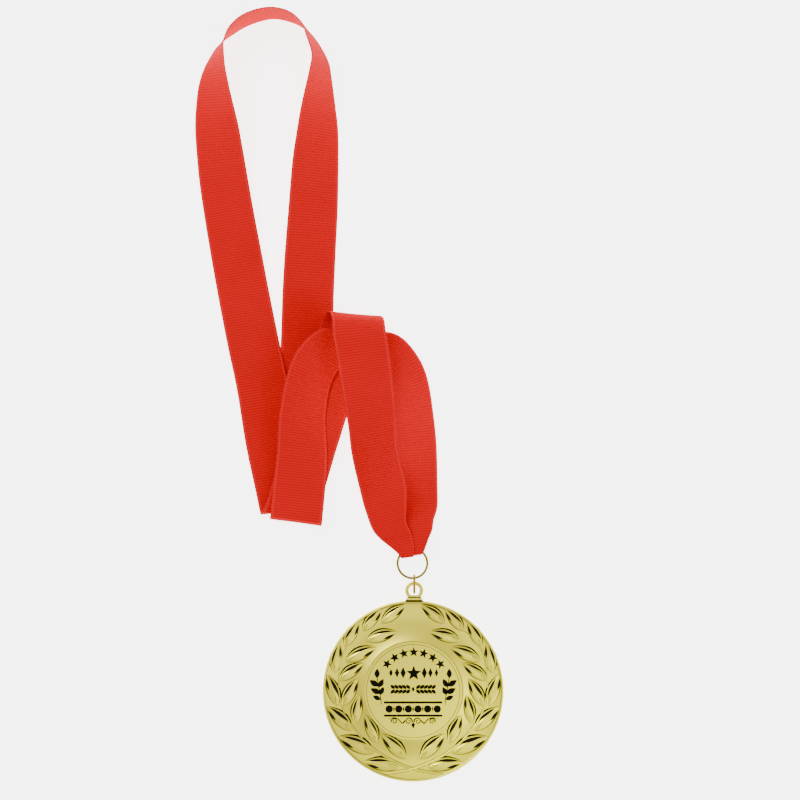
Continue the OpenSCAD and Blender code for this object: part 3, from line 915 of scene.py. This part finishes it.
# %% The leaves: a dark drawing that follows each leaf
def leaf_gold():
    """Gold with the dark drawing of a folded leaf, painted dark reflection on its steep slopes.
    """
    shader = Shader("leaf_gold")
    u, v = shader.place()
    wander = shader.noise(75.0, 1.0)
    window = shader.math("DIVIDE", shader.math("SUBTRACT", u, 0.16), 0.81)
    swell = shader.math("SINE", shader.math("MULTIPLY", math.pi, shader.math(
        "MAXIMUM", 0.0, shader.math("MINIMUM", 1.0, window))))
    half = shader.math("MULTIPLY", swell, shader.math("MULTIPLY_ADD", wander, 0.5, 0.06))
    middle_v = shader.math("MULTIPLY_ADD", u, -0.30, 0.66)
    away = shader.math("ABSOLUTE", shader.math("SUBTRACT", v, middle_v))
    blade = shader.soft_step(shader.math("SUBTRACT", half, away), 0.0, 0.05)
    # A bright sliver stays between the blade and the line under the shaded edge
    blade = shader.math("MULTIPLY", blade, shader.math("SUBTRACT", 1.0, shader.soft_step(
        v, 0.58, 0.64)))
    shaded_edge = shader.math("MULTIPLY", shader.soft_step(v, 0.74, 0.8),
                              shader.soft_step(u, 0.04, 0.12))
    low_edge = shader.math("SUBTRACT", 1.0, shader.soft_step(v, -0.85, -0.77))
    below = shader.math("ABSOLUTE", shader.math("ADD", v, 0.62))
    reach = shader.math("SINE", shader.math("MULTIPLY", math.pi, shader.math(
        "MAXIMUM", 0.0, shader.math("MINIMUM", 1.0, shader.math(
            "DIVIDE", shader.math("SUBTRACT", u, 0.5), 0.46)))))
    bright_line = shader.soft_step(shader.math("SUBTRACT", shader.math(
        "MULTIPLY", reach, 0.26), below), 0.0, 0.06)
    faint = shader.math("MULTIPLY", low_edge, shader.math(
        "MULTIPLY_ADD", shader.soft_step(u, 0.35, 0.6), 0.3, 0.65))
    bud_width = shader.math("MULTIPLY", 0.36, shader.math("SUBTRACT", 1.0, shader.math(
        "MULTIPLY", u, 3.2)))
    bud = shader.math("ABSOLUTE", shader.math("SUBTRACT", shader.math("ABSOLUTE", v), bud_width))
    bud = shader.math("MULTIPLY", shader.math("SUBTRACT", 1.0, shader.soft_step(bud, 0.03, 0.07)),
                      shader.math("SUBTRACT", 1.0, shader.soft_step(u, 0.26, 0.3)))
    # Painted dark reflection: the strokes below stand for the dark surround mirrored in the
    # leaf's steep slopes
    dark = shader.math("MULTIPLY", bud, 0.7)
    for part in (faint, bright_line, shaded_edge, blade):
        dark = shader.math("MAXIMUM", part, dark)
    shader.set(Roughness=shader.math("MULTIPLY_ADD", dark, 0.4, 0.3))
    return with_patina_and_painted_reflection(shader, dark)


give(wreath, leaf_gold())

# %% [markdown]
# ## The rim, the stems and the eyelet
# Wiping leaves the patina wherever a cloth can't reach: inside the rim, along the foot of
# each stem and in the two grooves of the tab. The distance from such a place decides how
# dark the gold is, so each finish is one distance and one soft step.


# %% Rim and stems
def rim_gold():
    """Satin gold with a fine line of patina inside the raised rim, and a short dark bar
    where the tab's lower groove runs over the rim."""
    shader = satin_gold("rim_gold")
    x, y, _ = shader.split(shader.object_point())
    radius = shader.from_axis(x, y)
    off = shader.math("ABSOLUTE", shader.math("SUBTRACT", radius, DISC_R - BORDER - 0.2 * MM))
    dark = shader.math("MULTIPLY", 0.7, shader.math("SUBTRACT", 1.0, shader.soft_step(
        off, 0.06 * MM, 0.24 * MM)))
    aside = shader.math("ABSOLUTE", shader.math("SUBTRACT", x, EYELET_X))
    bar = shader.math("MULTIPLY", shader.soft_step(y, 34.4 * MM, 34.6 * MM),
                      shader.math("SUBTRACT", 1.0, shader.soft_step(aside, 3.4 * MM, 3.8 * MM)))
    dark = shader.math("MAXIMUM", dark, bar)
    return with_patina_and_painted_reflection(shader, dark)


def stem_gold():
    """Satin gold with patina along both feet of the stem, where it meets the field."""
    shader = satin_gold("stem_gold")
    run, around = shader.place()
    sideways = shader.math("ABSOLUTE", shader.math("COSINE", shader.math(
        "MULTIPLY", around, 2 * math.pi)))
    dark = shader.soft_step(sideways, 0.66, 0.9)
    return with_patina_and_painted_reflection(shader, dark)


give(blank, rim_gold())
stem_finish = stem_gold()
for stem in stems:
    give(stem, stem_finish)


# %% Eyelet and tab
def grooved_gold():
    """Satin gold with patina in the tab's two grooves, which also cross the eyelet's foot."""
    shader = satin_gold("grooved_gold")
    y = shader.split(shader.object_point())[1]
    dark = 0.0
    for low, high in ((34.62, 35.3), (36.0, 36.5)):
        above = shader.soft_step(y, low * MM, (low + 0.1) * MM)
        below = shader.math("SUBTRACT", 1.0, shader.soft_step(y, (high - 0.1) * MM, high * MM))
        band = shader.math("MULTIPLY", above, below)
        dark = shader.math("MAXIMUM", dark, band)
    return with_patina_and_painted_reflection(shader, dark)


grooved = grooved_gold()
give(tab, grooved)
give(eyelet, grooved)

# %% [markdown]
# ## The plate's finish
# The plate is taken to be thin printed metal, smoother than the casting, with a fine
# circle near its edge. The circle could be a thin ring of geometry. It needs no relief,
# so the distance from the axis draws it instead.


# %% Plate gold with its fine circle
def plate_gold():
    """Smooth gold, darker along one fine circle and at the very edge."""
    shader = Shader("plate_gold")
    x, y, _ = shader.split(shader.object_point())
    radius = shader.from_axis(x, y)
    off = shader.math("ABSOLUTE", shader.math("SUBTRACT", radius, PLATE_R - 1.1 * MM))
    line = shader.math("SUBTRACT", 1.0, shader.soft_step(off, 0.08 * MM, 0.2 * MM))
    edge = shader.soft_step(radius, PLATE_R - 0.22 * MM, PLATE_R - 0.06 * MM)
    dark = shader.math("MULTIPLY", 0.8, shader.math("MAXIMUM", line, edge))
    grain = shader.noise(3000.0, 3.0)
    shader.set(Base_Color=shader.mix(dark, gold_with_painted_reflection(shader), (0.10, 0.07, 0.01, 1.0)),
               Metallic=1.0, Roughness=shader.math("MULTIPLY_ADD", grain, 0.1, 0.27))
    return shader


give(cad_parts["centre_plate"], plate_gold())

# %% [markdown]
# ## Ink, adhesive and wire
# Ink is dull and black, the film is pale and smooth, and plated wire is metal with a
# drawn, slightly rough skin. One helper makes all of them: a colour, a little cloud in
# it, and a roughness. The wires keep the CAD's thickness in the mesh, which is an
# estimate. Against the glowing table they look finer than they are, and their colour is
# chosen with that in mind.


# %% Four plain finishes
def plain_finish(name, colour, metallic, roughness, scale, amount, shine=0.5):
    """One colour with a slight cloud of roughness."""
    shader = Shader(name)
    cloud = shader.noise(scale, 3.0)
    darker = tuple(0.8 * c for c in colour[:3]) + (1.0,)
    shader.set(Base_Color=shader.mix(cloud, darker, colour), Metallic=metallic,
               Roughness=shader.math("MULTIPLY_ADD", cloud, amount, roughness),
               Specular_IOR_Level=shine)
    return shader


give(ink, plain_finish("black_ink", (0.004, 0.003, 0.002, 1.0), 0.0, 0.7, 900.0, 0.1,
                       shine=0.04))
give(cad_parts["adhesive_film"], plain_finish("clear_film", linear(214, 208, 190), 0.0,
                                                    0.2, 400.0, 0.1))
give(jump_ring, plain_finish("jump_wire", (0.30, 0.21, 0.006, 1.0), 1.0, 0.5, 500.0, 0.1))
give(ribbon_ring, plain_finish("ring_wire", (0.24, 0.17, 0.003, 1.0), 1.0, 0.5, 500.0, 0.1))

# %% [markdown]
# ## Table and light
# A white table and soft boxes give the even light of a catalogue picture. Gold mirrors
# its surroundings, so the white world around it is what makes it look pale. The table
# glows like a light table, which keeps the background near white. It costs something:
# the glow spills over the edges of thin dark shapes, and they look finer than they are.

# %% White table, soft light
floor_mesh = bpy.data.meshes.new("table")
TABLE_HALF = 12.0
# A hair below zero, so that the disc's flat back and the table never share one plane
TABLE_Z = -0.2 * MM
TABLE_GLOW = 4.4
floor_mesh.from_pydata([(sx * TABLE_HALF, sy * TABLE_HALF, TABLE_Z)
                        for sx, sy in ((-1, -1), (1, -1), (1, 1), (-1, 1))], [], [(0, 1, 2, 3)])
table = bpy.data.objects.new("table", floor_mesh)
bpy.context.scene.collection.objects.link(table)
table_finish = Shader("table_white")
table_finish.set(Base_Color=(0.92, 0.92, 0.92, 1), Roughness=0.9,
                 Emission_Color=(1, 1, 1, 1), Emission_Strength=TABLE_GLOW)
give(table, table_finish)

world = bpy.data.worlds.new("studio")
bpy.context.scene.world = world
world.use_nodes = True
world.node_tree.nodes["Background"].inputs["Color"].default_value = (1, 1, 1, 1)
world.node_tree.nodes["Background"].inputs["Strength"].default_value = 1.0


def soft_box(name, place, aim, size, power):
    """A square area light that looks at a point."""
    light = bpy.data.lights.new(name, "AREA")
    light.size = size
    light.energy = power
    lamp = bpy.data.objects.new(name, light)
    lamp.location = place
    direction = np.array(aim) - np.array(place)
    lamp.rotation_euler = (
        math.atan2(float(np.hypot(direction[0], direction[1])), float(-direction[2])), 0,
        math.atan2(float(direction[1]), float(direction[0])) - math.pi / 2)
    bpy.context.scene.collection.objects.link(lamp)
    print(f"{name}: {power} W from a box {size} m wide")


soft_box("key", (-0.5, 0.6, 0.9), (*LAYOUT_CENTRE, 0), 0.6, 9)
soft_box("fill", (0.7, -0.4, 0.8), (*LAYOUT_CENTRE, 0), 0.8, 5)
# The disc mirrors this small one to the camera, as a warm glow at its lower right
soft_box("glint", (0.045, -0.219, 0.9), (0.015, -0.02, 0), 0.12, 0.3)
